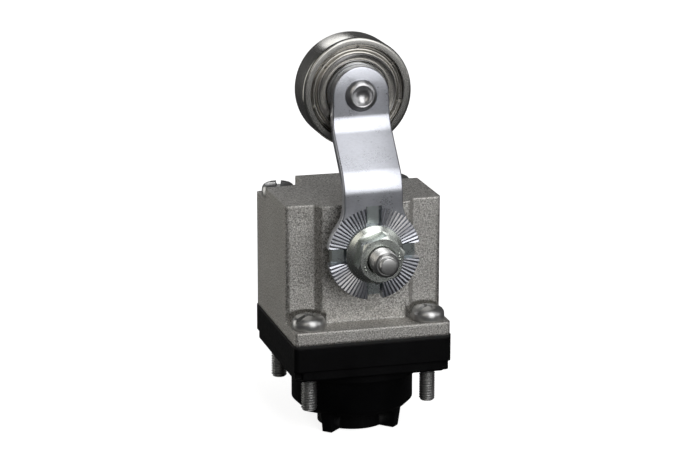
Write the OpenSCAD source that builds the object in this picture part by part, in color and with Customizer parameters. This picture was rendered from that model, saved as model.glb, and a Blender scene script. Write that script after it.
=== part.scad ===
// Operating head of a limit switch: a roller lever on a serrated hub swings a
// shaft, a cam on the shaft pushes a sprung plunger down into the switch body.
// Units are millimetres. X runs along the front face, Y to the back, Z up.
// The origin is the centre of the seating face under the base plate, on the
// plunger axis and in the middle of the four mounting screws.

/* [Housing] */
// Width and depth of the die-cast housing
housing_w = 30; // [28:0.5:34]
// Height of the housing top above the seating face
housing_top = 32.2; // [31:0.1:36]
// Thickness of the flange at the foot of the housing
flange_t = 2.47; // [2:0.01:3.5]
// Face of the two front pillars, measured from the centre plane
pillar_y = 8; // [7.6:0.1:8.6]
// Face of the raised pad around the shaft
pad_y = 9.76; // [9.3:0.01:10]
// Half width of the pad at its face
pad_half = 8.43; // [8:0.01:9]
// Half width of the pad at its root
pad_root_half = 9.5; // [9.2:0.01:10]
// Depth of the rear corner ledges below the top
ledge_drop = 2.56; // [2:0.01:4]
// Radius of the ledge pockets around the rear screws
ledge_r = 4.25; // [3.8:0.05:4.6]

/* [Base] */
// Width and depth of the base plate
plate_w = 30.4; // [30:0.1:34]
// Height of the base plate
plate_t = 6.75; // [6:0.05:8]
// Thickness of the sealing gasket under the housing
gasket_t = 0.5; // [0.3:0.05:0.5]
// Radius of the round turret
turret_r = 11.6; // [11.2:0.1:12]
// Length of the turret below the seating face
turret_l = 8.85; // [8:0.05:10]
// Length of the four ribs and the guide nose below the turret
nose_l = 3.9; // [3:0.1:5]

/* [Mounting screws] */
// Spacing of the four screws in both directions
screw_pitch = 23; // [22:0.5:23.5]
// Nominal radius of the screw thread
screw_r = 1.5; // [1.25:0.05:1.6]
// Radius of the screw head
head_r = 3.15; // [2.6:0.05:3.2]
// Height of the screw head
head_h = 2.6; // [1.8:0.05:2.8]
// How far the two front screws stand below the seating face
front_stud_l = 6.25; // [4:0.05:9]
// How far the two rear screws stand below the seating face
rear_stud_l = 6.8; // [4:0.1:9]

/* [Shaft and lever] */
// Height of the shaft axis above the seating face
shaft_z = 24.1; // [23.5:0.1:24.6]
// Radius of the shaft journal
shaft_r = 3; // [2.8:0.1:3.2]
// Distance from the shaft axis to the roller axis
lever_l = 28.2; // [28:0.1:36]
// Lean of the lever at rest, in degrees
lever_lean = 1; // [0:0.1:3]
// Thickness of the lever plate
lever_t = 2; // [1.5:0.1:2]
// Radius of the lever hub
hub_r = 8.8; // [8:0.1:9]
// Half width of the lever arm
arm_half = 5.6; // [5.35:0.05:5.8]
// Radius of the lever tip around the rivet
tip_r = 5.35; // [5.2:0.05:5.4]
// Height above the shaft axis where the lever starts to bend back
bend_z = 11.2; // [10.8:0.1:11.6]
// How far the lever tip stands behind the hub
jog = 7.6; // [7:0.1:7.6]
// Bend angle of the lever arm, in degrees
bend_a = 40; // [38:1:44]
// Across flats of the lever nut
nut_af = 8; // [7:0.1:8.2]
// Radius of the flange of the lever nut
nut_flange_r = 5.5; // [5:0.1:5.6]

/* [Roller] */
// Outer radius of the ball bearing roller
roller_r = 10.35; // [10:0.05:10.4]
// Width of the roller
roller_w = 7; // [7:0.1:8]
// Number of balls in the roller
ball_n = 9; // [7:1:9]

/* [Plunger] */
// Radius of the plunger rod
rod_r = 2; // [1.8:0.1:2.1]
// Stroke of the follower under the cam
stroke = 1.6; // [1:0.1:1.7]
// Radius of the cam
cam_r = 5; // [4.6:0.1:5]
// Distance from the shaft axis to the flat of the cam
cam_flat = 3.4; // [3.3:0.1:4]

/* [Hidden] */
$fn = 96;

hh = housing_w / 2;
gasket_z = plate_t;
flange_z = plate_t + gasket_t;            // underside of the housing
flange_top = flange_z + flange_t;
ledge_z = housing_top - ledge_drop;
sp = screw_pitch / 2;
hole_r = screw_r + 0.15;
// 0.65 of a 0.5 mm pitch, halved
shank_r = screw_r - 0.1625;

// chamber that holds the cam and the follower
ch_x = 8.6;
ch_y0 = -5;
ch_y1 = 11.5;
ch_top = housing_top - 2.7;

// stations along the shaft, all in Y
lever_f = -15.4;                          // front of the lever hub
lever_b = lever_f + lever_t;              // back of the lever hub
wash_b = lever_b + 1.2;                   // back of the drive washer
collar_b = wash_b + 1.9;                  // back of the shaft collar
seal_b = -8.2;
bush_flange_b = -4.2;
cam_f = -3.3;
cam_b = 3.3;
ring_b = cam_b + 0.8;
rear_r = 2.5;
run = 0.03;                               // running clearance of the journals

// lever side profile
ro = 7;                                   // outer bend radius
ri = ro - lever_t;
slant = (jog - (ro + ri) * (1 - cos(bend_a))) / sin(bend_a);
bend2_z = bend_z + (ro + ri) * sin(bend_a) + slant * cos(bend_a);
tip_f = lever_f + jog;                    // front of the lever tip
tip_b = tip_f + lever_t;
slot_w = 2.9;
dog_w = 2.2;
neck_r = 6;                               // fillet between hub and arm

// roller stations in Y
rol_f = tip_b + 0.3;
rol_c = rol_f + roller_w / 2;
rol_b = rol_f + roller_w;
axle_r = 3;
inner_r = 5.8;                            // outer radius of the inner ring
outer_in_r = 8.85;                        // inner radius of the outer ring
pitch_r = (inner_r + outer_in_r) / 2;
ball_r = 1.72;

// plunger train in Z
fol_top = shaft_z - cam_r - 0.15;
fol_bot = fol_top - 2.5;
stem_r = 3.6;
stem_bot = 1;
collar_t = 0.8;
stem_bore = 2.75;
bore_top = 9;
rod_head_r = 2.6;
rod_head_b = stem_bot + 0.1;
rod_head_t = rod_head_b + 1.8;
nose_z = -(turret_l + nose_l);
spring_x = 5.9;

// rounded rectangle from squares and circles, centred on the origin
module rrect(w, d, r) {
    square([w - 2 * r, d], center = true);
    square([w, d - 2 * r], center = true);
    for (x = [-1, 1], y = [-1, 1])
        translate([x * (w / 2 - r), y * (d / 2 - r)]) circle(r);
}
module slab(w, d, r, z0, z1) { translate([0, 0, z0]) linear_extrude(z1 - z0) rrect(w, d, r); }
// round bar along Y between two stations
module ybar(r, y0, y1) { translate([0, y1, 0]) rotate([90, 0, 0]) cylinder(h = y1 - y0, r = r); }
module ytube(r1, r0, y0, y1) {
    translate([0, y1, 0]) rotate([90, 0, 0]) linear_extrude(y1 - y0)
        difference() { circle(r1); circle(r0); }
}
module on_shaft() { translate([0, 0, shaft_z]) children(); }
module on_lever() { on_shaft() rotate([0, -lever_lean, 0]) children(); }
module on_roller() { on_lever() translate([0, 0, lever_l]) children(); }
module four_screws(r, z0, z1) {
    for (x = [-sp, sp], y = [-sp, sp]) translate([x, y, z0]) cylinder(h = z1 - z0, r = r);
}
// ring section turned about Y: points are [radius, y]
module turned(pts) { rotate([-90, 0, 0]) rotate_extrude() polygon([for (p = pts) [p[0], p[1]]]); }

// ---------------------------------------------------------------- static parts

module ledge2d() {
    translate([sp, sp]) circle(ledge_r);
    translate([sp, sp - ledge_r]) square([10, 10 + ledge_r]);
    translate([sp - ledge_r, sp]) square([10 + ledge_r, 10]);
}

// room around a front screw head: wide and domed in the pillar, plain on the pad side
module head_pocket() {
    intersection() {
        rotate_extrude() polygon([[0, 0], [4.9, 0], [4.9, 1.63], [3.5, 2.48], [0, 3]]);
        translate([-9, -9, -1]) cube([11, 18, 9]);
    }
    cylinder(h = 2.1, r = 4.2);
}

module housing() {
    color([0.68, 0.66, 0.62]) difference() {
        union() {
            slab(housing_w, housing_w, 0.8, flange_z, flange_top);
            // upper body behind the pillar faces
            translate([0, 0, flange_z]) linear_extrude(housing_top - flange_z)
                translate([0, (hh - pillar_y) / 2]) rrect(housing_w, hh + pillar_y, 0.7);
            // raised pad with slanted sides
            translate([0, 0, flange_z]) linear_extrude(housing_top - flange_z)
                polygon([[-pad_root_half, -pillar_y + 1], [-pad_root_half, -pillar_y], [-pad_half, -pad_y],
                         [pad_half, -pad_y], [pad_root_half, -pillar_y], [pad_root_half, -pillar_y + 1]]);
            // small lip at the foot of the left pillar
            translate([-hh, -pillar_y - 0.3, flange_top - 0.1]) cube([1.3, 0.5, 0.45]);
        }
        // open corners over the rear screws
        for (s = [0, 1]) mirror([s, 0, 0]) translate([0, 0, ledge_z]) linear_extrude(10) ledge2d();
        // pockets around the front screw heads
        for (s = [0, 1]) mirror([s, 0, 0]) translate([-sp, -sp, flange_top]) head_pocket();
        // clearance holes of the four screws
        four_screws(hole_r, 0, housing_top + 1);
        // cam chamber, open to the base
        translate([0, (ch_y0 + ch_y1) / 2, flange_z - 1]) linear_extrude(ch_top - flange_z + 1)
            rrect(2 * ch_x, ch_y1 - ch_y0, 1.5);
        // shaft bore, seal seat and blind rear bore
        on_shaft() {
            ybar(4.6, -pad_y - 1, ch_y0 + 1);
            ybar(5, -pad_y - 1, seal_b);
            ybar(3.5, ch_y1 - 1, ch_y1 + 2.7);
        }
        // shallow ejector marks on the left pillar
        for (z = [29.3, 17.4]) translate([-12.1, -pillar_y + 0.06, z]) rotate([90, 0, 0]) cylinder(h = 1, r = 1.6);
    }
}

module housing_gasket() {
    color([0.07, 0.07, 0.075]) difference() {
        slab(plate_w, plate_w, 1, gasket_z, flange_z);
        translate([0, (ch_y0 + ch_y1) / 2, 0]) linear_extrude(20) rrect(2 * ch_x, ch_y1 - ch_y0, 1.5);
        four_screws(hole_r, 0, 20);
    }
}

module base_plate() {
    color([0.05, 0.05, 0.055]) difference() {
        union() {
            slab(plate_w, plate_w, 1, 2.2, plate_t);
            slab(plate_w - 0.7, plate_w - 0.7, 0.9, 0.45, 2.3);
            slab(plate_w - 2.4, plate_w - 2.4, 0.6, 0, 0.5);
            translate([0, 0, -1.4]) cylinder(h = 2, r = 13.6);
            translate([0, 0, -turret_l + 1.1]) cylinder(h = turret_l, r = turret_r);
            translate([0, 0, -turret_l]) cylinder(h = 1.1, r1 = turret_r - 1.1, r2 = turret_r);
        }
        // bore for the plunger guide and hole for the follower stem
        translate([0, 0, -turret_l - 1]) cylinder(h = turret_l + 1 + 4, r = 9);
        cylinder(h = 20, r = stem_r + 0.35);
        four_screws(hole_r, -5, 20);
        // notches in the lower front corners
        for (s = [0, 1]) mirror([s, 0, 0]) translate([13.5, -16, 0.7]) cube([2, 1.9, 1.2]);
    }
}

module plunger_guide() {
    color([0.08, 0.08, 0.085]) difference() {
        union() {
            translate([0, 0, -turret_l]) cylinder(h = 2.4, r = 9);
            translate([0, 0, nose_z]) cylinder(h = nose_l + 0.2, r = 6.65);
            translate([0, 0, -turret_l]) cylinder(h = turret_l - 2, r = 3.4);
            intersection() {
                for (a = [45, 135]) rotate([0, 0, a]) translate([-12, -1, nose_z]) cube([24, 2, nose_l]);
                translate([0, 0, nose_z]) cylinder(h = nose_l, r1 = 9.6, r2 = 10.2);
            }
        }
        translate([0, 0, nose_z - 1]) cylinder(h = 40, r = rod_r + 0.06);
    }
}

module front_bush() {
    color([0.62, 0.47, 0.26]) on_shaft() union() {
        ytube(4.6, shaft_r + run, seal_b, ch_y0);
        ytube(5.3, shaft_r + run, ch_y0, bush_flange_b);
    }
}
module rear_bush() { color([0.62, 0.47, 0.26]) on_shaft() ytube(3.5, rear_r + run, ch_y1, ch_y1 + 2.6); }
module shaft_seal() { color([0.1, 0.1, 0.1]) on_shaft() ytube(5, shaft_r + run, -pad_y + 0.1, seal_b); }

// pan head with a slot and a cross recess, seated at z = 0
module pan_head(a) {
    rr = 0.9;
    rotate([0, 0, a]) difference() {
        rotate_extrude() union() {
            square([head_r - rr, head_h]);
            square([head_r, head_h - rr]);
            translate([head_r - rr, head_h - rr]) circle(rr, $fn = 48);
        }
        translate([-5, -0.52, head_h - 1.3]) cube([10, 1.04, 3]);
        for (q = [0, 90]) rotate([0, 0, q]) translate([-1.8, -0.42, head_h - 1.7]) cube([3.6, 0.84, 3]);
    }
}
module screw(seat, tip, a) {
    translate([0, 0, seat]) pan_head(a);
    // rolled thread: the shank is at the pitch diameter, and the full thread
    // diameter starts at the seating face
    cylinder(h = seat + 0.5, r = shank_r);
    translate([0, 0, tip + 0.4]) cylinder(h = -tip - 0.4, r = screw_r);
    translate([0, 0, tip]) cylinder(h = 0.4, r1 = screw_r - 0.4, r2 = screw_r);
}
module front_screws() {
    color([0.5, 0.5, 0.49]) {
        translate([-sp, -sp, 0]) screw(flange_top, -front_stud_l, 32);
        translate([sp, -sp, 0]) screw(flange_top, -front_stud_l, 27);
    }
}
module rear_screws() {
    color([0.5, 0.5, 0.49]) {
        translate([-sp, sp, 0]) screw(ledge_z, -rear_stud_l, 74);
        translate([sp, sp, 0]) screw(ledge_z, -rear_stud_l, 10);
    }
}

// ---------------------------------------------------------------- shaft and lever

module shaft() {
    color([0.62, 0.62, 0.6]) on_lever() difference() {
        union() {
            ybar(1.55, -24.8, -23);
            ybar(2.45, -23.6, lever_b);
            intersection() {                       // double flat under the drive washer
                ybar(shaft_r, lever_b, wash_b);
                translate([-2.4, lever_b - 1, -5]) cube([4.8, 4, 10]);
            }
            ybar(5.5, wash_b, collar_b);
            ybar(shaft_r, collar_b, cam_b);
            ybar(2.2, cam_b, ring_b);
            ybar(rear_r, ring_b, ch_y1 + 2.4);
        }
        translate([0, 0, -3.3]) cylinder(h = 8.1, r = 0.75);
    }
}
module thrust_washer() { color([0.7, 0.7, 0.68]) on_shaft() ytube(5, shaft_r + 0.03, bush_flange_b + 0.1, cam_f); }
module cam() {
    color([0.55, 0.55, 0.56]) on_lever() difference() {
        ytube(cam_r, shaft_r, cam_f, cam_b);
        translate([-10, cam_f - 1, -10 - cam_flat]) cube([20, cam_b - cam_f + 2, 10]);
        translate([0, 0, -3.4]) cylinder(h = 8.2, r = 0.75);
    }
}
module cam_pin() { color([0.6, 0.6, 0.6]) on_lever() translate([0, 0, -3.3]) cylinder(h = 8.1, r = 0.75); }
module retaining_ring() {
    color([0.3, 0.3, 0.32]) on_lever() difference() {
        ytube(4.4, 2.2, cam_b, ring_b);
        translate([-1.5, cam_b - 1, -6]) cube([3, 3, 5]);
    }
}
module drive_washer() {
    color([0.72, 0.73, 0.74]) on_lever() difference() {
        union() {
            ytube(7.9, 1, lever_b, wash_b);
            for (a = [0, 90, 180, 270]) rotate([0, a, 0])
                translate([-dog_w / 2, lever_f + 0.7, 5.6]) cube([dog_w, lever_t - 0.7 + 0.3, a == 0 ? 3.3 : 2.3]);
        }
        intersection() {
            ybar(shaft_r, lever_b - 3, wash_b + 1);
            translate([-2.4, -20, -5]) cube([4.8, 20, 10]);
        }
    }
}

// side profile of the lever in (Y, Z) from the shaft axis, one bar per section
module lever_bar() { translate([-10, 0, 0]) rotate([90, 0, 90]) linear_extrude(20) children(); }
module bend2d(y, z, a0) {
    translate([y, z]) rotate(a0) intersection() {
        difference() { circle(ro); circle(ri); }
        polygon([[0, 0], [20, 0], [20 * cos(bend_a), -20 * sin(bend_a)]]);
    }
}
module lever_side() {
    lap = 0.2;                                // the sections run into each other by this much
    lever_bar() translate([lever_f, -12]) square([lever_t, bend_z + 12 + lap]);
    lever_bar() bend2d(lever_f + ro, bend_z, 180);
    lever_bar() translate([lever_f + ro - ro * cos(bend_a), bend_z + ro * sin(bend_a)]) rotate(-bend_a)
        translate([0, -lap]) square([lever_t, slant + 2 * lap]);
    lever_bar() bend2d(tip_f - ri, bend2_z, 0);
    lever_bar() translate([tip_f, bend2_z - lap]) square([lever_t, 20]);
}
// front outline of the lever in (X, Z)
module lever_front2d() {
    zf = sqrt(pow(hub_r + neck_r, 2) - pow(arm_half + neck_r, 2));
    circle(hub_r, $fn = 144);
    polygon([[-arm_half, 0], [arm_half, 0], [arm_half, bend2_z - 1], [tip_r, lever_l], [-tip_r, lever_l], [-arm_half, bend2_z - 1]]);
    translate([0, lever_l]) circle(tip_r);
    for (s = [0, 1]) mirror([s, 0]) difference() {
        polygon([[0, 0], [0, zf], [arm_half + neck_r, zf]]);
        translate([arm_half + neck_r, zf]) circle(neck_r);
    }
}
module lever() {
    color([0.74, 0.76, 0.8]) on_lever() difference() {
        intersection() {
            union() lever_side();
            translate([0, 5, 0]) rotate([90, 0, 0]) linear_extrude(30) lever_front2d();
        }
        ybar(2.55, -20, 0);
        // slots for the four dogs
        for (a = [0, 90, 180, 270]) rotate([0, a, 0])
            translate([-slot_w / 2, -20, 5]) cube([slot_w, 10, a == 0 ? 4.05 : 5]);
        translate([0, 0, lever_l]) ybar(2, tip_f - 1, tip_b + 1);
    }
}
module lever_nut() {
    color([0.72, 0.74, 0.66]) on_lever() difference() {
        union() {
            ybar(nut_flange_r, lever_f - 1.1, lever_f);
            rotate([0, -16, 0]) translate([0, lever_f - 1, 0]) rotate([90, 0, 0])
                cylinder(h = 4, r = nut_af / 2 / cos(30), $fn = 6);
        }
        ybar(2.45, -30, 0);
    }
}

// ---------------------------------------------------------------- roller

module roller_rivet() {
    color([0.7, 0.71, 0.73]) on_roller() difference() {
        union() {
            ybar(3.2, tip_f - 1.2, tip_f);
            ybar(2, tip_f, tip_b);
            ybar(axle_r, tip_b, rol_b);
            ybar(4.4, rol_b, rol_b + 0.9);
        }
        translate([0, tip_f - 2.2, 0]) sphere(2);
    }
}
module roller_spacer() { color([0.6, 0.6, 0.6]) on_roller() ytube(4.9, axle_r, tip_b, rol_f); }
module roller_inner_ring() {
    color([0.66, 0.66, 0.65]) on_roller() translate([0, rol_c, 0]) rotate([-90, 0, 0]) rotate_extrude() difference() {
        translate([axle_r, -roller_w / 2]) square([inner_r - axle_r, roller_w]);
        translate([pitch_r, 0]) circle(ball_r + 0.04);
    }
}
module roller_outer_ring() {
    h = roller_w / 2;
    c = 0.5;
    color([0.55, 0.55, 0.53]) on_roller() translate([0, rol_c, 0]) rotate([-90, 0, 0]) rotate_extrude($fn = 144) difference() {
        polygon([[outer_in_r, -h], [roller_r - c, -h], [roller_r, -h + c], [roller_r, h - c], [roller_r - c, h], [outer_in_r, h]]);
        translate([pitch_r, 0]) circle(ball_r + 0.04);
    }
}
module shield(s) {
    h = roller_w / 2;
    color([0.45, 0.44, 0.42]) on_roller() translate([0, rol_c, 0]) rotate([-90 * s, 0, 0]) rotate_extrude()
        polygon([[outer_in_r, -h + 0.95], [outer_in_r, -h + 0.6], [7.93, -h + 0.6], [7.3, -h + 0.15],
                 [5.95, -h + 0.15], [5.95, -h + 0.5], [7.15, -h + 0.5], [7.8, -h + 0.95]]);
}
module roller_shield_front() { shield(1); }
module roller_shield_rear() { shield(-1); }
module ball_ring(r) {
    for (i = [0 : ball_n - 1]) rotate([0, i * 360 / ball_n, 0]) translate([0, rol_c, pitch_r]) sphere(r, $fn = 48);
}
module roller_cage() {
    color([0.62, 0.5, 0.3]) on_roller() difference() {
        ytube(pitch_r + 0.55, pitch_r - 0.55, rol_c - 2.15, rol_c + 2.15);
        ball_ring(ball_r + 0.06);
    }
}
module roller_balls() { color([0.8, 0.8, 0.8]) on_roller() ball_ring(ball_r); }

// ---------------------------------------------------------------- plunger train

module follower() {
    color([0.6, 0.6, 0.58]) difference() {
        union() {
            translate([-7.9, -3.6, fol_bot]) cube([15.8, 7.2, fol_top - fol_bot]);
            translate([0, 0, stem_bot]) cylinder(h = fol_bot - stem_bot + 0.5, r = stem_r);
        }
        translate([0, 0, stem_bot - 1]) cylinder(h = bore_top - stem_bot + 1, r = stem_bore);
    }
}
module follower_collar() {
    color([0.45, 0.45, 0.45]) translate([0, 0, stem_bot - collar_t]) linear_extrude(collar_t)
        difference() { circle(stem_r); circle(rod_r + 0.2); }
}
module plunger() {
    color([0.75, 0.75, 0.74]) union() {
        translate([0, 0, rod_head_b]) cylinder(h = rod_head_t - rod_head_b, r = rod_head_r);
        translate([0, 0, nose_z + 1.15]) cylinder(h = rod_head_b - nose_z - 1.15 + 0.1, r = rod_r);
        translate([0, 0, nose_z + 0.75]) cylinder(h = 0.4, r1 = rod_r - 0.4, r2 = rod_r);
    }
}
// helical spring with closed ends: mean radius, wire radius, length, turns
module spring(rm, rw, l, turns) {
    seg = 14;
    sides = 6;
    n = floor(turns * seg);
    lift = l - 2 * rw;
    // the first and last turn lie almost flat
    function zt(t) = t < 1 ? 2.05 * rw * t
                   : t > turns - 1 ? lift - 2.05 * rw * (turns - t)
                   : 2.05 * rw + (lift - 4.1 * rw) * (t - 1) / (turns - 2);
    pts = [for (i = [0 : n]) let (t = i * turns / n, a = 360 * t)
           for (j = [0 : sides - 1]) let (b = 360 * j / sides, r = rm + rw * cos(b))
           [r * cos(a), r * sin(a), rw + zt(t) + rw * sin(b)]];
    faces = concat(
        [[for (j = [0 : sides - 1]) j]],
        [for (i = [0 : n - 1], j = [0 : sides - 1])
            [i * sides + j, (i + 1) * sides + j, (i + 1) * sides + (j + 1) % sides, i * sides + (j + 1) % sides]],
        [[for (j = [sides - 1 : -1 : 0]) n * sides + j]]);
    polyhedron(pts, faces, convexity = 10);
}
module return_springs() {
    color([0.7, 0.7, 0.72]) for (x = [-spring_x, spring_x])
        translate([x, 0, plate_t]) spring(1.45, 0.22, fol_bot - plate_t, 7);
}
module overtravel_spring() {
    color([0.7, 0.7, 0.72]) translate([0, 0, rod_head_t]) spring(2.1, 0.3, bore_top - rod_head_t, 6);
}

housing();
housing_gasket();
base_plate();
plunger_guide();
front_bush();
rear_bush();
shaft_seal();
front_screws();
rear_screws();
shaft();
thrust_washer();
cam();
cam_pin();
retaining_ring();
drive_washer();
lever();
lever_nut();
roller_rivet();
roller_spacer();
roller_inner_ring();
roller_outer_ring();
roller_shield_front();
roller_shield_rear();
roller_cage();
roller_balls();
follower();
follower_collar();
return_springs();
plunger();
overtravel_spring();
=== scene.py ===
import math

import bmesh
import bpy
import numpy as np
from mathutils import Matrix, Vector


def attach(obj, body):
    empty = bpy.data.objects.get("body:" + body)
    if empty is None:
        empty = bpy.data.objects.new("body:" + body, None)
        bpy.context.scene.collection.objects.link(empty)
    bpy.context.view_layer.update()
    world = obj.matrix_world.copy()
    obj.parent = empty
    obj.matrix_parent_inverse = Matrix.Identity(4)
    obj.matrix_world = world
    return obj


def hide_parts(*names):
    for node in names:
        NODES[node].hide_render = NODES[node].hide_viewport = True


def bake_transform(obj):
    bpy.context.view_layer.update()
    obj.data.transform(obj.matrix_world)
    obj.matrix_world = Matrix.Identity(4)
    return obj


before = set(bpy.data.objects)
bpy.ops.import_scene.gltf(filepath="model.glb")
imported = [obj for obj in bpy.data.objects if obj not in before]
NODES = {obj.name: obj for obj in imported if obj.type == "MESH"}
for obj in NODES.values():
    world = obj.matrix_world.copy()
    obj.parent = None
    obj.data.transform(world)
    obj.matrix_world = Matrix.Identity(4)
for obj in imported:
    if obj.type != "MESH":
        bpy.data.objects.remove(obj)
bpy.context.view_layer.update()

MM = 0.001
RAD = math.radians

# ------------------------------------------------------------------ camera

cam_data = bpy.data.cameras.new("camera")
cam = bpy.data.objects.new("camera", cam_data)
bpy.context.scene.collection.objects.link(cam)
fwd = Vector((0.25924561, 0.93161518, -0.25472508)).normalized()
right = Vector((0.96349873, -0.2677087, 0.00149702)).normalized()
up = right.cross(fwd).normalized()
m = Matrix((right, up, -fwd)).transposed().to_4x4()
m.translation = Vector((-0.128086, -0.458808, 0.151131))
cam.matrix_world = m
cam_data.sensor_width = 36.0
cam_data.lens = 2606.07 / 700 * 36.0
cam_data.clip_start = 0.01
cam_data.clip_end = 20.0
bpy.context.scene.camera = cam

# ------------------------------------------------------------------ dimensions, mm (as in the CAD)

SHAFT_Z = 24.1
LEAN = 1.0
LEVER_L = 28.2
LEVER_F = -15.4
LEVER_T = 2.0
JOG = 7.6
BEND_Z = 11.2
BEND_A = RAD(40)
RO, RI = 7.0, 5.0
RM = 6.0
SLANT = (JOG - (RO + RI) * (1 - math.cos(BEND_A))) / math.sin(BEND_A)
BEND2_Z = BEND_Z + (RO + RI) * math.sin(BEND_A) + SLANT * math.cos(BEND_A)
TIP_F = LEVER_F + JOG
TIP_B = TIP_F + LEVER_T
ROL_F = TIP_B + 0.3
ROL_W = 7.0
ROL_C = ROL_F + ROL_W / 2
ROL_B = ROL_F + ROL_W
ROLLER_R = 10.35
FLANGE_TOP = 9.72
LEDGE_Z = 29.64
HOUSING_TOP = 32.2
SP = 11.5
HEAD_R = 3.15
HEAD_H = 2.6
NOSE_Z = -12.75

LEAN_M = Matrix.Translation((0, 0, SHAFT_Z)) @ Matrix.Rotation(RAD(-LEAN), 4, "Y")
ROLL_M = LEAN_M @ Matrix.Translation((0, 0, LEVER_L))

# ------------------------------------------------------------------ mesh helpers


def make(name, verts, faces, matrix=None, sharp=35.0):
    """A mesh object from points in millimetres."""
    me = bpy.data.meshes.new(name)
    if matrix is not None:
        verts = [matrix @ Vector(v) for v in verts]
    me.from_pydata([(v[0] * MM, v[1] * MM, v[2] * MM) for v in verts], [], faces)
    me.validate()
    clean(me)
    finish_mesh(me, sharp)
    o = bpy.data.objects.new(name, me)
    bpy.context.scene.collection.objects.link(o)
    return o


def clean(me, dist=2e-6):
    bm = bmesh.new()
    bm.from_mesh(me)
    bmesh.ops.remove_doubles(bm, verts=bm.verts, dist=dist)
    bmesh.ops.dissolve_degenerate(bm, edges=bm.edges, dist=1e-7)
    bmesh.ops.recalc_face_normals(bm, faces=bm.faces)
    bm.to_mesh(me)
    bm.free()


def finish_mesh(me, sharp=35.0):
    me.polygons.foreach_set("use_smooth", [True] * len(me.polygons))
    me.set_sharp_from_angle(angle=RAD(sharp))
    me.update()


def boolean(obj, cutters, op="DIFFERENCE"):
    for c in cutters:
        md = obj.modifiers.new("b", "BOOLEAN")
        md.operation = op
        md.solver = "EXACT"
        md.use_self = False
        md.object = c
    bpy.context.view_layer.update()
    dg = bpy.context.evaluated_depsgraph_get()
    new = bpy.data.meshes.new_from_object(obj.evaluated_get(dg))
    obj.modifiers.clear()
    old = obj.data
    obj.data = new
    new.name = obj.name
    bpy.data.meshes.remove(old)
    for c in cutters:
        me = c.data
        bpy.data.objects.remove(c)
        bpy.data.meshes.remove(me)
    return obj


def revolve(name, profile, n=128, matrix=None, closed=False, sharp=35.0, warp=None, axis="Y"):
    """Turns (radius, station) points about the axis. closed joins the last point to the first."""
    verts, faces = [], []
    k = len(profile)
    for i in range(n):
        a = 2 * math.pi * i / n
        for r, y in profile:
            if warp:
                r, y = warp(r, y, a)
            if axis == "Y":
                verts.append((r * math.sin(a), y, r * math.cos(a)))
            else:
                verts.append((r * math.cos(a), r * math.sin(a), y))
    last = k if closed else k - 1
    for i in range(n):
        j = (i + 1) % n
        for p in range(last):
            q = (p + 1) % k
            if profile[p][0] < 1e-6 and profile[q][0] < 1e-6:
                continue
            faces.append((i * k + p, j * k + p, j * k + q, i * k + q))
    return make(name, verts, faces, matrix, sharp)


def arc(cx, cy, r, a0, a1, n=6):
    return [(cx + r * math.cos(RAD(a0 + (a1 - a0) * i / n)), cy + r * math.sin(RAD(a0 + (a1 - a0) * i / n))) for i in range(n + 1)]


def prism(name, pts, z0, z1, matrix=None, sharp=35.0):
    """Extrudes an outline in X, Y from z0 to z1."""
    n = len(pts)
    verts = [(x, y, z0) for x, y in pts] + [(x, y, z1) for x, y in pts]
    faces = [tuple(reversed(range(n))), tuple(range(n, 2 * n))]
    faces += [(i, (i + 1) % n, n + (i + 1) % n, n + i) for i in range(n)]
    return make(name, verts, faces, matrix, sharp)


def box_mesh(name, lo, hi, matrix=None):
    (a, b, c), (d, e, f) = lo, hi
    v = [(a, b, c), (d, b, c), (d, e, c), (a, e, c), (a, b, f), (d, b, f), (d, e, f), (a, e, f)]
    fs = [(0, 3, 2, 1), (4, 5, 6, 7), (0, 1, 5, 4), (1, 2, 6, 5), (2, 3, 7, 6), (3, 0, 4, 7)]
    return make(name, v, fs, matrix)


def thread(name, r_major, pitch, z0, z1, matrix=None, nphi=56, depth=None, cap_r=None, start_chamfer=0.5, end_chamfer=0.0, axis_y=False):
    """Helical thread whose rows follow the helix, closed at both ends."""
    depth = depth or 0.6 * pitch
    r_minor = r_major - depth
    prof = [(0.0, r_minor), (0.12, r_minor), (0.26, r_minor + depth * 0.42), (0.44, r_major - 0.02), (0.5, r_major), (0.58, r_major), (0.64, r_major - 0.02), (0.82, r_minor + depth * 0.42), (0.96, r_minor)]
    verts, faces = [], []
    turns = int(math.ceil((z1 - z0) / pitch)) + 2
    rows = []
    for t in range(-1, turns):
        for f, r in prof:
            rows.append((t + f, r))
    k = len(rows)
    for i in range(nphi + 1):
        ph = i / nphi
        a = 2 * math.pi * ph
        for u, r in rows:
            z = z0 + (u + ph) * pitch
            zc = min(max(z, z0), z1)
            lim = r_major
            if start_chamfer:
                lim = min(lim, r_major - start_chamfer + (zc - z0))
            if end_chamfer:
                lim = min(lim, r_major - end_chamfer + (z1 - zc))
            rr = min(r, lim)
            if z <= z0 or z >= z1:
                rr = min(r_minor, lim)
            verts.append((rr * math.cos(a), rr * math.sin(a), zc))
    for i in range(nphi):
        for p in range(k - 1):
            faces.append((i * k + p, (i + 1) * k + p, (i + 1) * k + p + 1, i * k + p + 1))
    n0 = len(verts)
    verts += [(0, 0, z0), (0, 0, z1)]
    for i in range(nphi):
        faces.append((n0, (i + 1) * k, i * k))
        faces.append((n0 + 1, i * k + k - 1, (i + 1) * k + k - 1))
    if axis_y:
        verts = [(v[0], v[2], -v[1]) for v in verts]
    return make(name, verts, faces, matrix, 28)


def join(name, objs):
    bm = bmesh.new()
    for o in objs:
        bm.from_mesh(o.data)
    me = bpy.data.meshes.new(name)
    bm.to_mesh(me)
    bm.free()
    for o in objs:
        d = o.data
        bpy.data.objects.remove(o)
        bpy.data.meshes.remove(d)
    ob = bpy.data.objects.new(name, me)
    bpy.context.scene.collection.objects.link(ob)
    return ob


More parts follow.
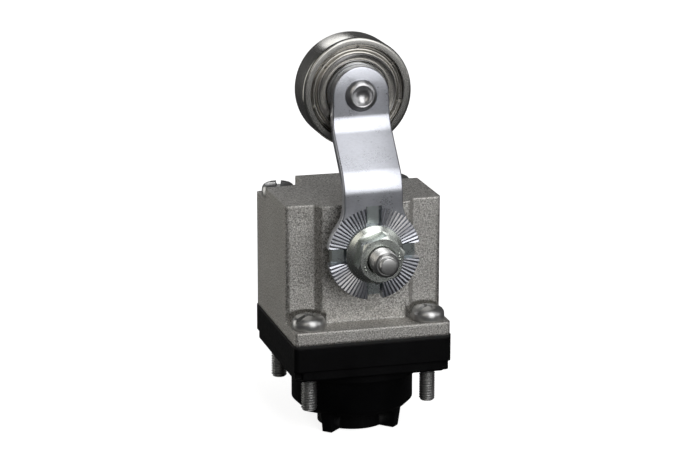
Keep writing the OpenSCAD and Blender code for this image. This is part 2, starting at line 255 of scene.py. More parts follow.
def bevel_edges(obj, pick, width, segments=3, sharp=35.0):
    bm = bmesh.new()
    bm.from_mesh(obj.data)
    bm.edges.ensure_lookup_table()
    es = [e for e in bm.edges if pick(e)]
    bmesh.ops.bevel(bm, geom=es, offset=width * MM, segments=segments, profile=0.5, affect="EDGES", clamp_overlap=True)
    bm.to_mesh(obj.data)
    bm.free()
    clean(obj.data)
    finish_mesh(obj.data, sharp)


def sharp_edge(angle=35):
    lim = RAD(angle)
    def f(e):
        return len(e.link_faces) == 2 and e.calc_face_angle(0) > lim
    return f


# ------------------------------------------------------------------ materials


class Mat:
    """Small builder for a node material on the object's own coordinates, in metres."""

    def __init__(self, name):
        self.m = bpy.data.materials.new(name)
        self.m.use_nodes = True
        self.t = self.m.node_tree
        self.t.nodes.clear()
        self.out = self.n("ShaderNodeOutputMaterial")
        self.b = self.n("ShaderNodeBsdfPrincipled")
        self.l(self.b.outputs[0], self.out.inputs[0])
        self.co = self.n("ShaderNodeTexCoord").outputs["Object"]

    def n(self, kind, **props):
        nd = self.t.nodes.new(kind)
        for k, v in props.items():
            setattr(nd, k, v)
        return nd

    def l(self, a, b):
        self.t.links.new(a, b)

    def mapping(self, scale=(1, 1, 1), rot=(0, 0, 0)):
        mp = self.n("ShaderNodeMapping")
        mp.inputs["Scale"].default_value = scale
        mp.inputs["Rotation"].default_value = rot
        self.l(self.co, mp.inputs["Vector"])
        return mp.outputs[0]

    def noise(self, scale, detail=3, rough=0.5, vec=None, dist=0.0):
        nd = self.n("ShaderNodeTexNoise")
        nd.inputs["Scale"].default_value = scale
        nd.inputs["Detail"].default_value = detail
        nd.inputs["Roughness"].default_value = rough
        nd.inputs["Distortion"].default_value = dist
        self.l(vec or self.co, nd.inputs["Vector"])
        return nd.outputs["Fac"]

    def voronoi(self, scale, feature="F1", out="Distance", vec=None):
        nd = self.n("ShaderNodeTexVoronoi", feature=feature)
        nd.inputs["Scale"].default_value = scale
        self.l(vec or self.co, nd.inputs["Vector"])
        return nd.outputs[out]

    def ramp(self, fac, stops, mode="LINEAR"):
        nd = self.n("ShaderNodeValToRGB")
        cr = nd.color_ramp
        cr.interpolation = mode
        while len(cr.elements) < len(stops):
            cr.elements.new(0.5)
        for e, (p, c) in zip(cr.elements, stops):
            e.position = p
            e.color = (c[0], c[1], c[2], 1) if isinstance(c, (tuple, list)) else (c, c, c, 1)
        self.l(fac, nd.inputs[0])
        return nd.outputs[0]

    def range(self, fac, a, b, c, d):
        nd = self.n("ShaderNodeMapRange")
        for i, v in zip((1, 2, 3, 4), (a, b, c, d)):
            nd.inputs[i].default_value = v
        self.l(fac, nd.inputs[0])
        return nd.outputs[0]

    def math(self, op, a, b):
        nd = self.n("ShaderNodeMath", operation=op)
        for i, v in enumerate((a, b)):
            if isinstance(v, (int, float)):
                nd.inputs[i].default_value = v
            else:
                self.l(v, nd.inputs[i])
        return nd.outputs[0]

    def mix(self, fac, a, b, mode="MIX"):
        nd = self.n("ShaderNodeMix", data_type="RGBA", blend_type=mode)
        for sock, v in zip((nd.inputs[0], nd.inputs[6], nd.inputs[7]), (fac, a, b)):
            if isinstance(v, (int, float)):
                sock.default_value = v
            elif isinstance(v, (tuple, list)):
                sock.default_value = (v[0], v[1], v[2], 1)
            else:
                self.l(v, sock)
        return nd.outputs[2]

    def bump(self, height, strength, dist, prev=None):
        nd = self.n("ShaderNodeBump")
        nd.inputs["Strength"].default_value = strength
        nd.inputs["Distance"].default_value = dist
        self.l(height, nd.inputs["Height"])
        if prev is not None:
            self.l(prev, nd.inputs["Normal"])
        return nd.outputs[0]

    def edge(self, radius, samples=8):
        """Normal that rounds the part's edges by this radius, in metres."""
        nd = self.n("ShaderNodeBevel", samples=samples)
        nd.inputs["Radius"].default_value = radius
        return nd.outputs[0]

    def set(self, **kw):
        names = {"color": "Base Color", "rough": "Roughness", "metal": "Metallic", "normal": "Normal", "ior": "IOR",
                 "coat": "Coat Weight", "coat_rough": "Coat Roughness", "spec": "Specular IOR Level", "aniso": "Anisotropic"}
        for k, v in kw.items():
            s = self.b.inputs[names[k]]
            if isinstance(v, (int, float)):
                s.default_value = v
            elif isinstance(v, (tuple, list)):
                s.default_value = (v[0], v[1], v[2], 1)
            else:
                self.l(v, s)
        return self.m


def mat_diecast():
    """Metallic textured powder paint: fine grain with bright flakes."""
    q = Mat("diecast_paint")
    grain = q.noise(5600, 2, 0.6)
    grain2 = q.noise(3000, 2, 0.5)
    flake = q.voronoi(5200, out="Color")
    sep = q.n("ShaderNodeSeparateColor")
    q.l(flake, sep.inputs[0])
    base = q.ramp(q.math("ADD", q.math("MULTIPLY", grain, 0.6), q.math("MULTIPLY", grain2, 0.4)),
                  [(0.38, (0.24, 0.23, 0.21)), (0.5, (0.58, 0.565, 0.54)), (0.60, (0.95, 0.935, 0.905))])
    spark = q.range(sep.outputs[0], 0.80, 0.98, 0, 1)
    col = q.mix(q.math("MULTIPLY", spark, 0.55), base, (0.86, 0.85, 0.82))
    blot = q.noise(120, 3, 0.6)
    col = q.mix(q.range(blot, 0.35, 0.7, 0.0, 0.14), col, (0.30, 0.28, 0.24))
    h = q.math("ADD", q.math("MULTIPLY", grain, 0.7), q.math("MULTIPLY", q.noise(7000, 2, 0.5), 0.3))
    nrm = q.bump(h, 1.0, 0.00010, q.bump(grain2, 0.5, 0.00010, q.edge(0.00065)))
    return q.set(color=col, metal=0.85, rough=q.range(grain2, 0.3, 0.7, 0.42, 0.58), normal=nrm)


def mat_zinc(name, tint, rough=0.24, rot=0.0, streak=0.5, axis="X", fine_b=0.12, edge=0.0):
    """Bright zinc plate with a fine rolled grain and light handling marks."""
    q = Mat(name)
    s = {"X": (1700, 3200, 3200), "Y": (3200, 1700, 3200), "Z": (3200, 3200, 1700)}[axis]
    vec = q.mapping(s, (0, rot, 0))
    line = q.noise(1.0, 4, 0.65, vec)
    fine = q.noise(5200, 2, 0.6)
    cloud = q.noise(260, 3, 0.55)
    c0 = tuple(c * 0.84 for c in tint)
    col = q.ramp(q.math("ADD", q.math("MULTIPLY", line, 0.5), q.math("MULTIPLY", cloud, 0.5)), [(0.35, c0), (0.6, tint)])
    r = q.math("ADD", q.range(line, 0.3, 0.7, rough - 0.012, rough + 0.02), q.range(cloud, 0.4, 0.7, -0.01, 0.015))
    nrm = q.bump(line, streak * 0.3, 0.00002, q.bump(fine, fine_b, 0.00002, q.edge(edge) if edge else None))
    return q.set(color=col, metal=1.0, rough=r, normal=nrm)


def mat_steel(name, tint, rough=0.3, turned=None, dirt=0.15, bump=0.25):
    """Plain steel: turned lines about Y or Z where asked, fine mottling elsewhere."""
    q = Mat(name)
    fine = q.noise(4200, 3, 0.6)
    cloud = q.noise(420, 4, 0.6)
    if turned:
        s = {"Y": (40, 9000, 40), "Z": (40, 40, 9000)}[turned]
        line = q.noise(1.0, 2, 0.6, q.mapping(s))
    else:
        line = q.noise(2400, 2, 0.6)
    col = q.ramp(cloud, [(0.3, tuple(c * (1 - dirt * 2) for c in tint)), (0.62, tint)])
    r = q.math("ADD", q.range(line, 0.3, 0.7, rough - 0.015, rough + 0.015), q.range(cloud, 0.35, 0.7, 0.015, -0.01))
    nrm = q.bump(line, bump, 0.00002, q.bump(fine, bump * 0.8, 0.00002))
    return q.set(color=col, metal=1.0, rough=r, normal=nrm)


def mat_plastic():
    q = Mat("black_plastic")
    fine = q.noise(2600, 3, 0.6)
    spark = q.noise(6500, 2, 0.5)
    cloud = q.noise(140, 3, 0.5)
    col = q.ramp(cloud, [(0.3, (0.0025, 0.0025, 0.0028)), (0.7, (0.0055, 0.0055, 0.006))])
    nrm = q.bump(fine, 0.22, 0.00005, q.bump(spark, 0.15, 0.00002, q.edge(0.0003)))
    return q.set(color=col, metal=0.0, rough=q.range(fine, 0.3, 0.7, 0.34, 0.5), normal=nrm, spec=0.08)


def mat_rubber():
    q = Mat("seal_rubber")
    fine = q.noise(3000, 3, 0.6)
    col = q.ramp(fine, [(0.3, (0.010, 0.010, 0.010)), (0.7, (0.02, 0.02, 0.02))])
    return q.set(color=col, rough=q.range(fine, 0.3, 0.7, 0.6, 0.8), normal=q.bump(fine, 0.3, 0.00004), spec=0.35)


def mat_bronze():
    q = Mat("bronze")
    pore = q.voronoi(2600)
    cloud = q.noise(500, 3, 0.6)
    col = q.ramp(q.math("ADD", q.math("MULTIPLY", pore, 0.5), q.math("MULTIPLY", cloud, 0.6)),
                 [(0.25, (0.30, 0.19, 0.08)), (0.55, (0.56, 0.38, 0.18))])
    return q.set(color=col, metal=0.9, rough=q.range(cloud, 0.3, 0.7, 0.38, 0.55), normal=q.bump(pore, 0.3, 0.00004))


def mat_floor():
    q = Mat("floor_paper")
    fine = q.noise(900, 3, 0.6)
    col = q.ramp(fine, [(0.3, (0.90, 0.90, 0.90)), (0.7, (0.93, 0.93, 0.93))])
    q.b.inputs["Emission Color"].default_value = (1, 1, 1, 1)
    q.b.inputs["Emission Strength"].default_value = 0.85
    return q.set(color=col, rough=0.9, normal=q.bump(fine, 0.05, 0.0001), spec=0.1)


M_PAINT = mat_diecast()
M_ZINC = mat_zinc("zinc_plate", (0.66, 0.675, 0.73), 0.285, 0.0, 0.12, "X", 0.06)
M_NUT = mat_zinc("nut_plate", (0.84, 0.88, 0.83), 0.27, 0.0, 0.06, "Y", 0.02)
M_DOG = mat_zinc("dog_plate", (0.55, 0.60, 0.60), 0.28, 0.0, 0.3, "X")
M_SHAFT = mat_steel("shaft_steel", (0.70, 0.70, 0.69), 0.30, "Y", 0.08, 0.12)
M_SCREW = mat_steel("screw_steel", (0.66, 0.66, 0.655), 0.36, None, 0.14, 0.25)
M_BEAR = mat_steel("bearing_steel", (0.66, 0.66, 0.64), 0.22, "Y", 0.06, 0.1)
M_ROLLER = mat_steel("roller_steel", (0.60, 0.59, 0.56), 0.23, "Y", 0.06, 0.05)
M_SHIELD = mat_steel("shield_steel", (0.56, 0.54, 0.50), 0.24, None, 0.08, 0.03)
M_RIVET = mat_steel("rivet_steel", (0.66, 0.66, 0.67), 0.31, None, 0.06, 0.06)
M_SPRING = mat_steel("spring_steel", (0.5, 0.5, 0.52), 0.25, None, 0.1)
M_BLACK = mat_plastic()
M_RUBBER = mat_rubber()
M_BRONZE = mat_bronze()


def finish_piece(o, mat, body, slot_name, *nodes):
    o.data.materials.clear()
    o.data.materials.append(mat)
    for p in o.data.polygons:
        p.material_index = 0
    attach(o, body)
    if nodes:
        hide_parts(*nodes)
    return o


# ------------------------------------------------------------------ lever plate


def lever_map(x, s, t):
    """Flat plate coordinates (across, along, depth from the front face) to the bent plate."""
    s1 = BEND_Z
    s2 = s1 + RM * BEND_A
    s3 = s2 + SLANT
    s4 = s3 + RM * BEND_A
    if s <= s1:
        y, z, ny, nz = LEVER_F + 1, s, 1, 0
    elif s <= s2:
        a = (s - s1) / RM
        y = LEVER_F + RO - RM * math.cos(a)
        z = BEND_Z + RM * math.sin(a)
        ny, nz = math.cos(a), -math.sin(a)
    elif s <= s3:
        a = BEND_A
        y = LEVER_F + RO - RM * math.cos(a) + (s - s2) * math.sin(a)
        z = BEND_Z + RM * math.sin(a) + (s - s2) * math.cos(a)
        ny, nz = math.cos(a), -math.sin(a)
    else:
        b = max(0.0, BEND_A - (s - s3) / RM)
        y = TIP_F - RI + RM * math.cos(b)
        z = BEND2_Z - RM * math.sin(b)
        ny, nz = math.cos(b), -math.sin(b)
        if s > s4:
            y, z, ny, nz = TIP_F + 1, BEND2_Z + (s - s4), 1, 0
    d = t - 1
    return x, y + ny * d, z + nz * d


S2 = BEND_Z + RM * BEND_A
S3 = S2 + SLANT
S4 = S3 + RM * BEND_A
S_RIVET = S4 + (LEVER_L - BEND2_Z)


def lever_outline():
    hub_r, neck_r, half, tip_r = 8.8, 6.0, 5.6, 5.35
    zf = math.sqrt((hub_r + neck_r) ** 2 - (half + neck_r) ** 2)
    cx = half + neck_r
    right_side = []
    a_hub = math.atan2(zf, cx)
    n = 64
    for i in range(n + 1):
        a = -math.pi / 2 + (a_hub + math.pi / 2) * i / n
        right_side.append((hub_r * math.cos(a), hub_r * math.sin(a)))
    a0 = a_hub + math.pi
    for i in range(1, 13):
        a = a0 + (math.pi - a0) * i / 12
        right_side.append((cx + neck_r * math.cos(a), zf + neck_r * math.sin(a)))
    right_side += [(half, BEND_Z), (half, S3)]
    n = 28
    for i in range(n):
        a = math.pi / 2 * i / n
        right_side.append((tip_r * math.cos(a), S_RIVET + tip_r * math.sin(a)))
    left = [(-x, z) for x, z in reversed(right_side[1:])]
    return right_side + [(0, S_RIVET + tip_r)] + left


def build_lever():
    pts = lever_outline()
    # outline in X, Z with depth along Y from 0 to 2
    n = len(pts)
    verts = [(x, 0, z) for x, z in pts] + [(x, LEVER_T, z) for x, z in pts]
    faces = [tuple(range(n)), tuple(reversed(range(n, 2 * n)))]
    faces += [(i, n + i, n + (i + 1) % n, (i + 1) % n) for i in range(n)]
    o = make("lever_plate", verts, faces)
    bevel_edges(o, sharp_edge(50), 0.28, 4)
    cut = []
    cyl = lambda r, x, z, nm: revolve(nm, [(0, -1), (r, -1), (r, 3), (0, 3)], 64, Matrix.Translation((x, 0, z)))
    cut.append(cyl(2.5, 0, 0, "c1"))
    cut.append(cyl(2.0, 0, S_RIVET, "c2"))
    w = 1.45
    cut.append(box_mesh("c3", (-w, -1, 5), (w, 3, 9.05)))
    cut.append(box_mesh("c4", (-w, -1, -12), (w, 3, -5)))
    cut.append(box_mesh("c5", (5, -1, -w), (12, 3, w)))
    cut.append(box_mesh("c6", (-12, -1, -w), (-5, 3, w)))
    boolean(o, cut)
    # radial serrations
    verts, faces = [], []
    r0, r1 = 4.9, 9.12
    for i in range(72):
        a = RAD(2.5 + 5 * i)
        deg = (2.5 + 5 * i) % 360
        # under the arm the grooves stop on the hub circle
        from_top = min(deg, 360 - deg)
        r1 = 8.75 if from_top < 42 else 9.12
        k = len(verts)
        for r in (r0, r1):
            hw = r * math.tan(RAD(2.5)) * 0.82
            dp = 0.21 * r / 8.8
            up_ = 0.04
            hw2 = hw * (1 + up_ / dp)
            for off, y in ((-hw2, -up_), (hw2, -up_), (0, dp)):
                # the tooth direction is a from +Z towards +X
                x = r * math.sin(a) + off * math.cos(a)
                z = r * math.cos(a) - off * math.sin(a)
                verts.append((x, y, z))
        faces += [(k, k + 1, k + 2), (k + 3, k + 5, k + 4), (k, k + 3, k + 4, k + 1), (k + 1, k + 4, k + 5, k + 2), (k + 2, k + 5, k + 3, k)]
    cutter = make("serration_cut", verts, faces)
    boolean(o, [cutter])
    # cross cuts so that the plate can bend
    bm = bmesh.new()
    bm.from_mesh(o.data)
    cuts = [BEND_Z + RM * BEND_A * i / 16 for i in range(17)] + [S3 + RM * BEND_A * i / 16 for i in range(17)]
    for s in cuts:
        bmesh.ops.bisect_plane(bm, geom=bm.verts[:] + bm.edges[:] + bm.faces[:], plane_co=(0, 0, s * MM), plane_no=(0, 0, 1), dist=1e-7)
    for v in bm.verts:
        x, t, s = v.co.x / MM, v.co.y / MM, v.co.z / MM
        v.co = (LEAN_M @ Vector(lever_map(x, s, t))) * MM
    bmesh.ops.recalc_face_normals(bm, faces=bm.faces)
    bm.to_mesh(o.data)
    bm.free()
    finish_mesh(o.data, 25)
    return finish_piece(o, M_ZINC, "lever_shaft", "zinc_plate", "lever")


build_lever()

# ------------------------------------------------------------------ flange nut


def build_nut():
    af = 8.0
    rc = af / 2 / math.cos(RAD(30))
    a0 = 16
    f, b = LEVER_F - 5.0, LEVER_F - 0.9
    verts = []
    for y in (f, b):
        for k in range(6):
            a = RAD(a0 + 60 * k)
            verts.append((rc * math.cos(a), y, rc * math.sin(a)))
    faces = [tuple(range(6)), tuple(reversed(range(6, 12)))] + [(i, 6 + i, 6 + (i + 1) % 6, (i + 1) % 6) for i in range(6)]
    hexa = make("lever_nut_piece", verts, faces)
    # chamfered front corners
    cone = revolve("nc", [(0, f - 0.02), (4.02, f - 0.02), (4.1, f + 0.02), (5.4, f + 0.72), (5.4, b + 1), (0, b + 1)], 96)
    boolean(hexa, [cone], "INTERSECT")
    fl = revolve("nf", [(0, LEVER_F), (5.42, LEVER_F)] + arc(5.22, LEVER_F - 0.28, 0.28, 90, -60, 22)[3:] + [(4.6, LEVER_F - 1.05), (3.9, LEVER_F - 1.3), (0, LEVER_F - 1.3)], 128)
    boolean(hexa, [fl], "UNION")
    # two small groups of raised pips on the front face, a generic grade mark
    pips = []
    for ang, rad_, dx in ((198, 3.35, 0), (208, 3.45, 0), (8, 3.35, 0), (18, 3.4, 0), (-2, 3.4, 0)):
        a = RAD(ang)
        px, pz = rad_ * math.cos(a), rad_ * math.sin(a)
        pips.append(revolve("np", [(0, f - 0.14), (0.13, f - 0.12), (0.22, f - 0.05), (0.24, f + 0.2), (0, f + 0.2)], 16, Matrix.Translation((px, 0, pz))))
    boolean(hexa, pips, "UNION")
    bore = revolve("nb", [(0, f - 1), (2.84, f - 1), (2.84, f - 0.02), (2.55, f + 0.3), (2.55, LEVER_F + 1), (0, LEVER_F + 1)], 96)
    boolean(hexa, [bore])
    hexa.data.transform(Matrix.Scale(1 / MM, 4))
    hexa.data.transform(LEAN_M)
    hexa.data.transform(Matrix.Scale(MM, 4))
    clean(hexa.data)
    finish_mesh(hexa.data, 9)
    return finish_piece(hexa, M_NUT, "lever_shaft", "nut_plate", "lever_nut")


build_nut()

# ------------------------------------------------------------------ shaft


def build_shaft():
    prof = [(0, 13.9), (2.2, 13.9), (2.5, 13.6), (2.5, 4.1), (2.2, 4.1), (2.2, 3.3), (3.0, 3.3), (3.0, -10.3), (5.3, -10.3), (5.5, -10.5),
            (5.5, -12.0), (5.3, -12.2), (2.9, -12.2), (2.9, -13.2), (2.1, -13.4), (0, -13.4)]
    body = revolve("shaft_bar", prof, 96, LEAN_M)
    th = thread("shaft_thread", 2.47, 0.8, -23.7, -13.3, LEAN_M, 72, 0.46, start_chamfer=0.55, axis_y=True)
    tip = revolve("shaft_tip", [(0, -24.8)] + [(1.36, -24.8)] + arc(1.36, -24.62, 0.18, -90, 0, 4)[1:] + [(1.54, -23.9), (1.6, -23.72), (1.85, -23.66), (1.85, -23.0), (0, -23.0)], 72, LEAN_M)
    o = join("shaft_piece", [body, th, tip])
    return finish_piece(o, M_SHAFT, "lever_shaft", "shaft_steel", "shaft")


build_shaft()

# ------------------------------------------------------------------ screws


def pan_head(name, x, y, seat, ang):
    r, h = HEAD_R, HEAD_H
    prof = [(0, seat), (r - 0.25, seat)] + arc(r - 0.22, seat + 0.22, 0.22, -90, 0, 3)[1:]
    # domed side and crown
    prof += [(a, seat + b) for a, b in ((r, 0.9), (r - 0.02, 1.25), (r - 0.13, 1.6), (r - 0.35, 1.92), (r - 0.7, 2.15), (r - 1.15, 2.3), (r - 1.75, 2.45), (r - 2.45, 2.55), (0, h))]
    o = revolve(name, prof, 96, axis="Z")
    top = seat + h
    # slot with rounded bottom and cross recess
    R = Matrix.Rotation(RAD(ang), 4, "Z")
    sl = [(-0.52, 3), (-0.48, -1.1), (-0.32, -1.3), (0.32, -1.3), (0.48, -1.1), (0.52, 3)]
    v = [(-4, a, top + b) for a, b in sl] + [(4, a, top + b) for a, b in sl]
    k = len(sl)
    fs = [tuple(reversed(range(k))), tuple(range(k, 2 * k))] + [(i, (i + 1) % k, k + (i + 1) % k, k + i) for i in range(k)]
    slot_c = make("sc", v, fs, R)
    cr = []
    for q in (0, 90):
        Q = R @ Matrix.Rotation(RAD(q), 4, "Z")
        vv = [(-1.95, -0.40, top + 0.3), (1.95, -0.40, top + 0.3), (1.95, 0.40, top + 0.3), (-1.95, 0.40, top + 0.3),
              (-0.5, -0.34, top - 1.6), (0.5, -0.34, top - 1.6), (0.5, 0.34, top - 1.6), (-0.5, 0.34, top - 1.6)]
        ff = [(0, 1, 2, 3), (7, 6, 5, 4), (0, 4, 5, 1), (1, 5, 6, 2), (2, 6, 7, 3), (3, 7, 4, 0)]
        cr.append(make("cc", vv, ff, Q))
    boolean(o, [slot_c] + cr)
    bevel_edges(o, sharp_edge(40), 0.07, 2)
    o.data.transform(Matrix.Translation((x * MM, y * MM, 0)))
    finish_mesh(o.data, 35)
    return o


def build_screws(name, node, spec):
    parts = []
    for i, (x, y, seat, tip, ang) in enumerate(spec):
        parts.append(pan_head(f"{name}_h{i}", x, y, seat, ang))
        T = Matrix.Translation((x, y, 0))
        parts.append(thread(f"{name}_t{i}", 1.5, 0.5, tip, 4.0, T, 48, 0.34, start_chamfer=0.32))
        parts.append(revolve(f"{name}_s{i}", [(0, 3.8), (1.3, 3.8), (1.3, seat + 0.1), (0, seat + 0.1)], 40, T, axis="Z"))
    o = join(name, parts)
    return finish_piece(o, M_SCREW, "head", "screw_steel", node)


build_screws("front_screw_pair", "front_screws", [(-SP, -SP, FLANGE_TOP, -6.25, 32), (SP, -SP, FLANGE_TOP, -6.25, 27)])
build_screws("rear_screw_pair", "rear_screws", [(-SP, SP, LEDGE_Z, -6.8, 74), (SP, SP, LEDGE_Z, -6.8, 10)])

# ------------------------------------------------------------------ roller


def build_outer_ring():
    h = ROL_W / 2
    R, r = ROLLER_R, 8.85
    c = 0.55
    prof = [(r, -h + 0.16), (r + 0.14, -h), (R - c, -h)] + arc(R - c, -h + c, c, -90, 0, 8)[1:]
    prof += arc(R - c, h - c, c, 0, 90, 8) + [(r + 0.14, h), (r, h - 0.16), (r, 1.3)]
    # ball groove
    g = math.sqrt(1.76 ** 2 - (r - 7.325) ** 2)
    a = math.degrees(math.atan2(g, r - 7.325))
    prof += arc(7.325, 0, 1.76, a, -a, 10) + [(r, -1.3)]
    o = revolve("outer_ring", prof, 192, ROLL_M @ Matrix.Translation((0, ROL_C, 0)), closed=True, sharp=40)
    return finish_piece(o, M_ROLLER, "roller", "roller_steel", "roller_outer_ring")


def build_shield(name, node, s):
    """Pressed shield: rolled edge in the ring, deep groove, rounded step and flat web."""
    h = ROL_W / 2
    def y(d):
        return s * (-h + d)
    front = [(8.84, 0.60), (8.74, 0.42), (8.62, 0.36), (8.50, 0.42), (8.42, 0.62), (8.30, 0.70), (8.02, 0.70), (7.90, 0.62), (7.80, 0.42), (7.68, 0.24), (7.50, 0.16), (7.34, 0.17), (7.26, 0.24), (7.14, 0.30),
             (6.3, 0.30), (6.06, 0.26), (5.96, 0.30)]
    back = [(5.96, 0.52), (7.10, 0.58), (7.4, 0.60), (7.66, 0.94), (8.84, 0.94)]
    prof = [(r, d) for r, d in front] + back
    notch = [RAD(a) for a in (2, 53, 104, 155, 206, 257, 309)]
    def warp(r, d, a):
        if 8.35 < r < 8.8 and d < 0.65:
            for c in notch:
                da = abs((a - c + math.pi) % (2 * math.pi) - math.pi)
                if da < 0.022:
                    d = 0.66
        return r, y(d)
    o = revolve(name, prof, 360, ROLL_M @ Matrix.Translation((0, ROL_C, 0)), closed=True, sharp=50, warp=warp)
    return finish_piece(o, M_SHIELD, "roller", "shield_steel", node)


def build_inner_ring():
    h = ROL_W / 2
    R, r = 5.8, 3.0
    prof = [(r, -h + 0.2), (r + 0.2, -h), (R - 0.2, -h), (R, -h + 0.2), (R, -0.9)]
    k = 7.325 - R
    g = math.sqrt(1.76 ** 2 - k ** 2)
    a = math.degrees(math.atan2(g, -k))
    prof += arc(7.325, 0, 1.76, 360 - a, a, 10) + [(R, 0.9), (R, h - 0.2), (R - 0.2, h), (r + 0.2, h), (r, h - 0.2)]
    o = revolve("inner_ring", prof, 128, ROLL_M @ Matrix.Translation((0, ROL_C, 0)), closed=True, sharp=40)
    return finish_piece(o, M_BEAR, "lever_shaft", "bearing_steel", "roller_inner_ring")


def build_rivet():
    f = TIP_F
    # spherical dimple, rolled rim, head side
    prof = [(0, f - 0.10), (0.6, f - 0.15), (1.1, f - 0.32), (1.45, f - 0.58), (1.66, f - 0.86), (1.78, f - 1.06), (1.88, f - 1.16), (2.0, f - 1.19)]
    prof += [(2.16, f - 1.17), (2.36, f - 1.07), (2.62, f - 0.88), (2.84, f - 0.63), (2.98, f - 0.36), (3.04, f - 0.15), (3.02, f)]
    prof += [(1.99, f), (1.99, TIP_B), (2.99, TIP_B), (2.99, ROL_B), (4.3, ROL_B), (4.4, ROL_B + 0.12), (4.36, ROL_B + 0.5), (4.15, ROL_B + 0.75), (3.7, ROL_B + 0.87), (0, ROL_B + 0.9)]
    o = revolve("rivet", prof, 96, ROLL_M, sharp=45)
    return finish_piece(o, M_RIVET, "lever_shaft", "bearing_steel", "roller_rivet")


build_outer_ring()
build_shield("shield_front", "roller_shield_front", 1)
build_shield("shield_rear", "roller_shield_rear", -1)
build_inner_ring()
build_rivet()

# ------------------------------------------------------------------ springs, built as coils of one fixed length


def coil(name, rm, rw, z0, z1, turns, cx):
    """Round wire coil with a closed end turn at both ends."""
    per, k = 28, 10
    n = int(turns * per)
    lo, hi = z0 + rw, z1 - rw
    dead = 0.75 / turns
    verts, faces = [], []
    for i in range(n + 1):
        t = i / n
        u = min(max((t - dead) / (1 - 2 * dead), 0.0), 1.0)
        flat = 2.1 * rw
        rise = flat * min(t / dead, 1.0) + (hi - lo - 2 * flat) * u + flat * max((t - 1 + dead) / dead, 0.0)
        a = 2 * math.pi * turns * t
        for j in range(k):
            b = 2 * math.pi * j / k
            r = rm + rw * math.cos(b)
            verts.append((cx + r * math.cos(a), r * math.sin(a), lo + rise + rw * math.sin(b)))
    for i in range(n):
        for j in range(k):
            q = (j + 1) % k
            faces.append((i * k + j, i * k + q, (i + 1) * k + q, (i + 1) * k + j))
    faces += [tuple(reversed(range(k))), tuple(range(n * k, n * k + k))]
    return make(name, verts, faces)


def sprung(o, node):
    o.data.materials.clear()
    o.data.materials.append(M_SPRING)
    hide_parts(node)
    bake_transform(o)


sprung(join("return_spring_pair", [coil("rs1", 1.45, 0.22, 6.78, 16.42, 7, -5.9), coil("rs2", 1.45, 0.22, 6.78, 16.42, 7, 5.9)]),
       "return_springs")
sprung(coil("overtravel_coil", 2.1, 0.3, 2.94, 8.96, 6, 0.0), "overtravel_spring")

# ------------------------------------------------------------------ CAD nodes that stay


def dress(node, mat, bevel=0.0, segments=3, angle=32, weld=True, dissolve=True):
    o = NODES[node]
    o.data.materials.clear()
    o.data.materials.append(mat)
    if weld:
        w = o.modifiers.new("weld", "WELD")
        w.merge_threshold = 2e-6
    if bevel:
        if dissolve:
            d = o.modifiers.new("flat", "DECIMATE")
            d.decimate_type = "DISSOLVE"
            d.angle_limit = RAD(1.0)
        b = o.modifiers.new("edge", "BEVEL")
        b.width = bevel * MM
        b.segments = segments
        b.limit_method = "ANGLE"
        b.angle_limit = RAD(angle)
        b.use_clamp_overlap = True
        b.harden_normals = False
        b.miter_outer = "MITER_ARC"
    return o


dress("housing", M_PAINT)
dress("housing_gasket", M_RUBBER, 0.1, 2)
dress("base_plate", M_BLACK)
dress("plunger_guide", M_BLACK)
for nm, mt in (("front_bush", M_BRONZE), ("rear_bush", M_BRONZE), ("shaft_seal", M_RUBBER), ("thrust_washer", M_SHAFT), ("cam", M_SHAFT),
               ("cam_pin", M_SHAFT), ("retaining_ring", M_SPRING), ("roller_spacer", M_BEAR), ("roller_cage", M_BRONZE),
               ("roller_balls", M_BEAR), ("follower", M_SHAFT), ("follower_collar", M_SHAFT), ("plunger", M_SHAFT)):
    dress(nm, mt)
dress("drive_washer", M_DOG, 0.12, 2)

# ------------------------------------------------------------------ stage and light

fl = bpy.data.meshes.new("floor")
z = NOSE_Z * MM - 0.0002
fl.from_pydata([(-6, -3, z), (6, -3, z), (6, 9, z), (-6, 9, z)], [], [(0, 1, 2, 3)])
floor = bpy.data.objects.new("floor", fl)
bpy.context.scene.collection.objects.link(floor)
floor.data.materials.append(mat_floor())


# the floor carries no light back to the part, so the underside stays dark
floor.visible_glossy = False
floor.visible_diffuse = False


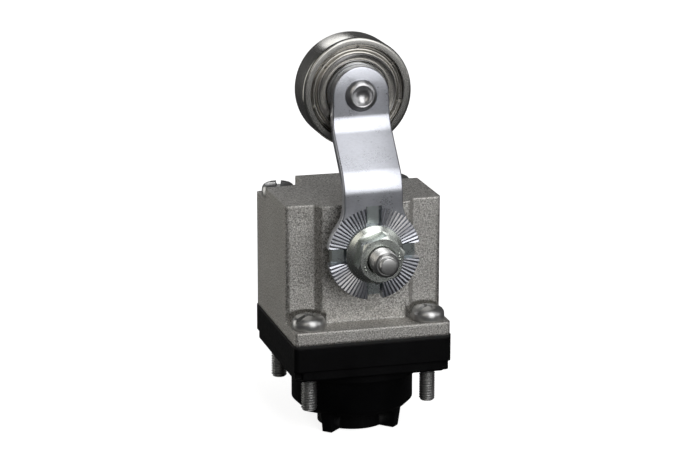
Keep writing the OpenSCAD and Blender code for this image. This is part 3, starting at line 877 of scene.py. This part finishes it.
def softbox(name, heading, elev, dist, w, h, level, color=(1, 1, 1)):
    """Soft rectangular light that faces the part; heading is degrees from -Y towards +X."""
    d = bpy.data.lights.new(name, "AREA")
    d.shape = "RECTANGLE"
    d.size = w
    d.size_y = h
    d.energy = level * math.pi * w * h
    d.color = color
    o = bpy.data.objects.new(name, d)
    bpy.context.scene.collection.objects.link(o)
    he, el = RAD(heading), RAD(elev)
    v = Vector((math.sin(he) * math.cos(el), -math.cos(he) * math.cos(el), math.sin(el)))
    o.location = Vector((0, 0, 0.025)) + v * dist
    o.rotation_euler = (-v).to_track_quat("-Z", "Y").to_euler()
    return o


softbox("front", 14, 29, 1.25, 0.85, 1.56, 2.05)
softbox("top", 22, 74, 1.25, 0.8, 0.5, 0.72)
softbox("front_left", -36, 28, 1.25, 0.36, 0.7, 1.15, (1.0, 0.95, 0.86))
softbox("right", 60, 16, 1.25, 0.4, 0.9, 0.9)
softbox("left", -128, 6, 1.25, 0.6, 1.0, 1.3, (1.0, 0.985, 0.93))
softbox("back", 178, 25, 1.25, 0.4, 0.25, 2.2)

w = bpy.data.worlds.new("world")
bpy.context.scene.world = w
w.use_nodes = True
wt = w.node_tree
bg = wt.nodes["Background"]
tc = wt.nodes.new("ShaderNodeTexCoord")
sx = wt.nodes.new("ShaderNodeSeparateXYZ")
wt.links.new(tc.outputs["Generated"], sx.inputs[0])
mr = wt.nodes.new("ShaderNodeMapRange")
for i, v in zip((1, 2, 3, 4), (-1.0, 1.0, 0.0, 1.0)):
    mr.inputs[i].default_value = v
wt.links.new(sx.outputs[2], mr.inputs[0])
cr = wt.nodes.new("ShaderNodeValToRGB")
els = cr.color_ramp.elements
while len(els) < 5:
    els.new(0.5)
for e, (pos, c) in zip(els, [(0.0, 0.02), (0.36, 0.04), (0.52, 0.085), (0.75, 0.06), (1.0, 0.06)]):
    e.position = pos
    e.color = (c, c, c * 1.02, 1)
wt.links.new(mr.outputs[0], cr.inputs[0])
wt.links.new(cr.outputs[0], bg.inputs[0])
bg.inputs[1].default_value = 1.0

vs = bpy.context.scene.view_settings
vs.view_transform = "Standard"
vs.look = "None"
vs.exposure = 0.0
